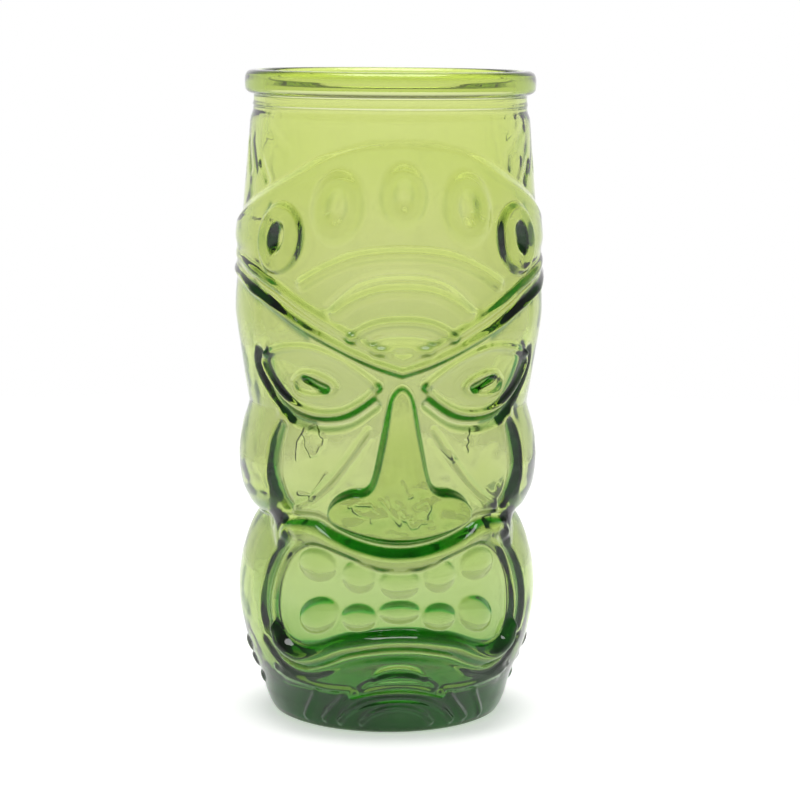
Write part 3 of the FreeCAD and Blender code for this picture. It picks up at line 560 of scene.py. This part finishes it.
# the painted shade mask, stored per vertex on the outside wall only
painted_shade = np.zeros((M, N), np.float32)
painted_shade[FIRST_OUT:FIRST_OUT + len(z_out)] = steep_shade
at = mesh.attributes.new("painted_shade", "FLOAT", "POINT")
at.data.foreach_set("value", np.concatenate([painted_shade.ravel(), [0.0, 0.0]]).astype(np.float32))
glass = bpy.data.objects.new("glass_body", mesh)
bpy.context.scene.collection.objects.link(glass)


# ---------------------------------------------------------------- material
def glass_material():
    m = bpy.data.materials.new("green_glass")
    m.use_nodes = True
    nt = m.node_tree
    nt.nodes.clear()
    out = nt.nodes.new("ShaderNodeOutputMaterial")
    p = nt.nodes.new("ShaderNodeBsdfPrincipled")
    # base colour over height: a purer, darker green towards the foot, partly the glass's own colour and partly painted
    # shade; a pale yellow band in the lowest 1.4 mm is a painted glint, and the rim's top is tinted darker as painted
    # shade
    gc = nt.nodes.new("ShaderNodeTexCoord")
    gs = nt.nodes.new("ShaderNodeSeparateXYZ")
    nt.links.new(gc.outputs["Object"], gs.inputs[0])
    gn = nt.nodes.new("ShaderNodeTexNoise")
    gn.inputs["Scale"].default_value = 22.0
    nt.links.new(gc.outputs["Object"], gn.inputs["Vector"])
    gj = nt.nodes.new("ShaderNodeMath")
    gj.operation = "MULTIPLY_ADD"
    gj.inputs[1].default_value = 0.002
    nt.links.new(gn.outputs["Fac"], gj.inputs[0])
    nt.links.new(gs.outputs["Z"], gj.inputs[2])
    gm = nt.nodes.new("ShaderNodeMath")
    gm.operation = "MULTIPLY"
    gm.inputs[1].default_value = 1.0 / 0.17
    nt.links.new(gj.outputs[0], gm.inputs[0])
    ramp = nt.nodes.new("ShaderNodeValToRGB")
    ramp.color_ramp.elements[0].position = 0.0
    ramp.color_ramp.elements[0].color = (*TINTS_WITH_PAINTED_SHADE[0][1], 1)
    ramp.color_ramp.elements[1].position = 1.0
    ramp.color_ramp.elements[1].color = (*TINTS_WITH_PAINTED_SHADE[-1][1], 1)
    for pos, col in TINTS_WITH_PAINTED_SHADE[1:-1]:
        e = ramp.color_ramp.elements.new(pos)
        e.color = (*col, 1)
    nt.links.new(gm.outputs[0], ramp.inputs["Fac"])
    # painted shade: the per-vertex mask multiplies the base colour towards a dark green
    at = nt.nodes.new("ShaderNodeAttribute")
    at.attribute_name = "painted_shade"
    dm = nt.nodes.new("ShaderNodeMix")
    dm.data_type = "RGBA"
    dm.blend_type = "MULTIPLY"
    nt.links.new(at.outputs["Fac"], dm.inputs["Factor"])
    nt.links.new(ramp.outputs["Color"], dm.inputs[6])
    dm.inputs[7].default_value = (*SHADE_COLOUR, 1)
    nt.links.new(dm.outputs[2], p.inputs["Base Color"])
    # painted glow: a faint deep-green emission at the thick edges and the foot, standing in for light led along inside
    # the glass that leaves again there
    glow_paint = nt.nodes.new("ShaderNodeMapRange")
    glow_paint.interpolation_type = "SMOOTHSTEP"
    glow_paint.inputs["From Min"].default_value = 0.016
    glow_paint.inputs["From Max"].default_value = 0.010
    glow_paint.inputs["To Min"].default_value = 0.0
    glow_paint.inputs["To Max"].default_value = 0.55
    nt.links.new(gs.outputs["Z"], glow_paint.inputs["Value"])
    gmax = nt.nodes.new("ShaderNodeMath")
    gmax.operation = "MAXIMUM"
    nt.links.new(glow_paint.outputs["Result"], gmax.inputs[0])
    nt.links.new(at.outputs["Fac"], gmax.inputs[1])
    gv = nt.nodes.new("ShaderNodeTexNoise")
    gv.inputs["Scale"].default_value = 95.0
    gv.inputs["Detail"].default_value = 3.0
    nt.links.new(gc.outputs["Object"], gv.inputs["Vector"])
    gr = nt.nodes.new("ShaderNodeMapRange")
    gr.inputs["From Min"].default_value = 0.40
    gr.inputs["From Max"].default_value = 0.66
    gr.inputs["To Min"].default_value = 0.10 * PAINTED_GLOW
    gr.inputs["To Max"].default_value = 1.8 * PAINTED_GLOW
    nt.links.new(gv.outputs["Fac"], gr.inputs["Value"])
    gstr = nt.nodes.new("ShaderNodeMath")
    gstr.operation = "MULTIPLY"
    nt.links.new(gr.outputs["Result"], gstr.inputs[1])
    nt.links.new(gmax.outputs[0], gstr.inputs[0])
    # colour of the painted glow
    p.inputs["Emission Color"].default_value = (0.05, 0.85, 0.03, 1.0)
    nt.links.new(gstr.outputs[0], p.inputs["Emission Strength"])
    p.inputs["Roughness"].default_value = 0.0
    p.inputs["IOR"].default_value = 1.52
    p.inputs["Transmission Weight"].default_value = 1.0
    nt.links.new(p.outputs[0], out.inputs["Surface"])
    # fine skin of moulded glass: faint ripples and a few specks
    co = nt.nodes.new("ShaderNodeTexCoord")
    n1 = nt.nodes.new("ShaderNodeTexNoise")
    n1.inputs["Scale"].default_value = 260.0
    n1.inputs["Detail"].default_value = 2.0
    n2 = nt.nodes.new("ShaderNodeTexVoronoi")
    n2.inputs["Scale"].default_value = 240.0
    nt.links.new(co.outputs["Object"], n1.inputs["Vector"])
    nt.links.new(co.outputs["Object"], n2.inputs["Vector"])
    spot = nt.nodes.new("ShaderNodeMapRange")
    spot.inputs["From Min"].default_value = 0.0
    spot.inputs["From Max"].default_value = 0.09
    spot.inputs["To Min"].default_value = 1.0
    spot.inputs["To Max"].default_value = 0.0
    nt.links.new(n2.outputs["Distance"], spot.inputs["Value"])
    add = nt.nodes.new("ShaderNodeMath")
    add.operation = "MULTIPLY_ADD"
    add.inputs[1].default_value = 0.25
    nt.links.new(spot.outputs["Result"], add.inputs[0])
    nt.links.new(n1.outputs["Fac"], add.inputs[2])
    bump = nt.nodes.new("ShaderNodeBump")
    bump.inputs["Strength"].default_value = 0.25
    bump.inputs["Distance"].default_value = 0.00003
    nt.links.new(add.outputs[0], bump.inputs["Height"])
    nt.links.new(bump.outputs["Normal"], p.inputs["Normal"])
    v = nt.nodes.new("ShaderNodeVolumeAbsorption")
    v.inputs["Color"].default_value = (*ABSORB, 1.0)
    v.inputs["Density"].default_value = DENSITY
    nt.links.new(v.outputs[0], out.inputs["Volume"])
    return m


# absorption per metre in red, green and blue is DENSITY * (1 - ABSORB)
SIGMA = (66.0, 46.0, 172.0)
# base colour over height, with painted shade at the foot and the rim top and a painted glint along the lowest edge
TINTS_WITH_PAINTED_SHADE = ((0.0, (1.0, 1.0, 0.45)), (0.008, (0.80, 0.98, 0.42)), (0.018, (0.020, 0.62, 0.040)), (0.070, (0.020, 0.54, 0.028)), (0.084, (0.48, 0.66, 0.36)), (0.14, (0.64, 0.73, 0.58)), (0.24, (0.74, 0.79, 0.68)), (0.40, (0.82, 0.82, 0.78)), (0.56, (0.87, 0.87, 0.80)), (0.74, (0.97, 0.95, 0.87)), (0.88, (0.98, 0.98, 0.78)), (0.988, (0.98, 0.98, 0.78)), (1.0, (0.80, 0.88, 0.36)))
OVERHEAD = 0.22
# dark green of the painted shade at steep edges
SHADE_COLOUR = (0.004, 0.12, 0.002)
# strength of the painted glow
PAINTED_GLOW = 0.030
DENSITY = 250.0
ABSORB = tuple(1.0 - s / DENSITY for s in SIGMA)
mesh.materials.append(glass_material())
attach(glass, "root")
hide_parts("rim_finish", "face_wall", "back_wall", "base")

# ---------------------------------------------------------------- floor, light, camera
lo_c, hi_c = CAD_BOX
FLOOR = lo_c[2] - 0.0002
fm = bpy.data.meshes.new("floor")
n = 96
ring = [(math.cos(2 * math.pi * k / n), math.sin(2 * math.pi * k / n)) for k in range(n)]
fv, ff = [(0, 0, FLOOR)], []
for s, r in enumerate((0.05, 0.1, 0.2, 0.4, 0.8, 1.6)):
    fv += [(x * r, y * r, FLOOR) for x, y in ring]
    for k in range(n):
        k2 = (k + 1) % n
        if s == 0:
            ff.append((0, 1 + k, 1 + k2))
        else:
            o0, o1 = 1 + (s - 1) * n, 1 + s * n
            ff.append((o0 + k, o1 + k, o1 + k2, o0 + k2))
fm.from_pydata(fv, [], ff)
floor = bpy.data.objects.new("floor", fm)
bpy.context.scene.collection.objects.link(floor)
fmat = bpy.data.materials.new("pale_floor")
fmat.use_nodes = True
nt = fmat.node_tree
nt.nodes.clear()
out = nt.nodes.new("ShaderNodeOutputMaterial")
dif = nt.nodes.new("ShaderNodeBsdfDiffuse")
dif.inputs["Color"].default_value = (0.86, 0.86, 0.86, 1)
emi = nt.nodes.new("ShaderNodeEmission")
emi.inputs["Color"].default_value = (1, 1, 1, 1)
emi.inputs["Strength"].default_value = 0.45
add = nt.nodes.new("ShaderNodeAddShader")
nt.links.new(dif.outputs[0], add.inputs[0])
nt.links.new(emi.outputs[0], add.inputs[1])
clear = nt.nodes.new("ShaderNodeBsdfTransparent")
mix = nt.nodes.new("ShaderNodeMixShader")
co = nt.nodes.new("ShaderNodeTexCoord")
ln = nt.nodes.new("ShaderNodeVectorMath")
ln.operation = "LENGTH"
nt.links.new(co.outputs["Object"], ln.inputs[0])
mr = nt.nodes.new("ShaderNodeMapRange")
mr.interpolation_type = "SMOOTHSTEP"
mr.inputs["From Min"].default_value = 0.30
mr.inputs["From Max"].default_value = 0.62
nt.links.new(ln.outputs["Value"], mr.inputs["Value"])
nt.links.new(mr.outputs["Result"], mix.inputs[0])
nt.links.new(add.outputs[0], mix.inputs[1])
nt.links.new(clear.outputs[0], mix.inputs[2])
nt.links.new(mix.outputs[0], out.inputs["Surface"])
fm.materials.append(fmat)

scene = bpy.context.scene
world = bpy.data.worlds.new("studio")
scene.world = world
world.use_nodes = True
nt = world.node_tree
nt.nodes.clear()
wo = nt.nodes.new("ShaderNodeOutputWorld")
bg = nt.nodes.new("ShaderNodeBackground")
bg.inputs["Strength"].default_value = 1.0
nt.links.new(bg.outputs[0], wo.inputs[0])
co = nt.nodes.new("ShaderNodeTexCoord")
sep = nt.nodes.new("ShaderNodeSeparateXYZ")
nt.links.new(co.outputs["Generated"], sep.inputs[0])


# one soft white dome, the same all round: bright at the backdrop's height, dimmer overhead
fade = nt.nodes.new("ShaderNodeMapRange")
fade.interpolation_type = "SMOOTHSTEP"
fade.inputs["From Min"].default_value = 0.16
fade.inputs["From Max"].default_value = 0.65
fade.inputs["To Min"].default_value = 1.0
fade.inputs["To Max"].default_value = OVERHEAD
nt.links.new(sep.outputs["Z"], fade.inputs["Value"])
comb = nt.nodes.new("ShaderNodeCombineColor")
for k in range(3):
    nt.links.new(fade.outputs["Result"], comb.inputs[k])
nt.links.new(comb.outputs[0], bg.inputs["Color"])


def area(name, loc, aim, size, power):
    l = bpy.data.lights.new(name, "AREA")
    l.shape = "RECTANGLE"
    l.size, l.size_y = size
    l.energy = power
    o = bpy.data.objects.new(name, l)
    o.location = loc
    d = np.array(aim, float) - np.array(loc, float)
    from mathutils import Vector
    o.rotation_euler = Vector(d).to_track_quat("-Z", "Y").to_euler()
    scene.collection.objects.link(o)
    return o


area("top_soft", (0.0, 0.0, 1.3), (0, 0, 0), (0.9, 0.9), 14.0)

# camera, level with the rim and a little to the face's right hand
D, EYE, PITCH, ROLL, AZ = 0.690, 0.1835, 8.285, 0.46, -5.2
cam = bpy.data.cameras.new("camera")
cam.sensor_width = 36.0
cam.lens = 2628.0 * 36.0 / 800.0
cam.clip_start = 0.01
cob = bpy.data.objects.new("camera", cam)
scene.collection.objects.link(cob)
azr = math.radians(AZ)
from mathutils import Matrix, Vector
cen = Vector(((lo_c[0] + hi_c[0]) / 2, 0.0, lo_c[2]))
pos = cen + Vector((math.sin(azr) * D, -math.cos(azr) * D, EYE))
fwd = Vector((-math.sin(azr), math.cos(azr), 0.0))
right = Vector((math.cos(azr), math.sin(azr), 0.0))
t = math.radians(PITCH)
look = fwd * math.cos(t) - Vector((0, 0, math.sin(t)))
upv = right.cross(look)
rot = Matrix((right, upv, -look)).transposed()
rot = rot @ Matrix.Rotation(math.radians(ROLL), 3, "Z")
cob.matrix_world = Matrix.Translation(pos) @ rot.to_4x4()
cam.shift_x = 12.0 / 800.0
scene.camera = cob

scene.view_settings.view_transform = "Standard"
scene.view_settings.look = "None"
scene.cycles.max_bounces = 32
scene.cycles.transmission_bounces = 32
scene.cycles.glossy_bounces = 12
scene.cycles.transparent_max_bounces = 16
scene.cycles.caustics_reflective = True
scene.cycles.caustics_refractive = True
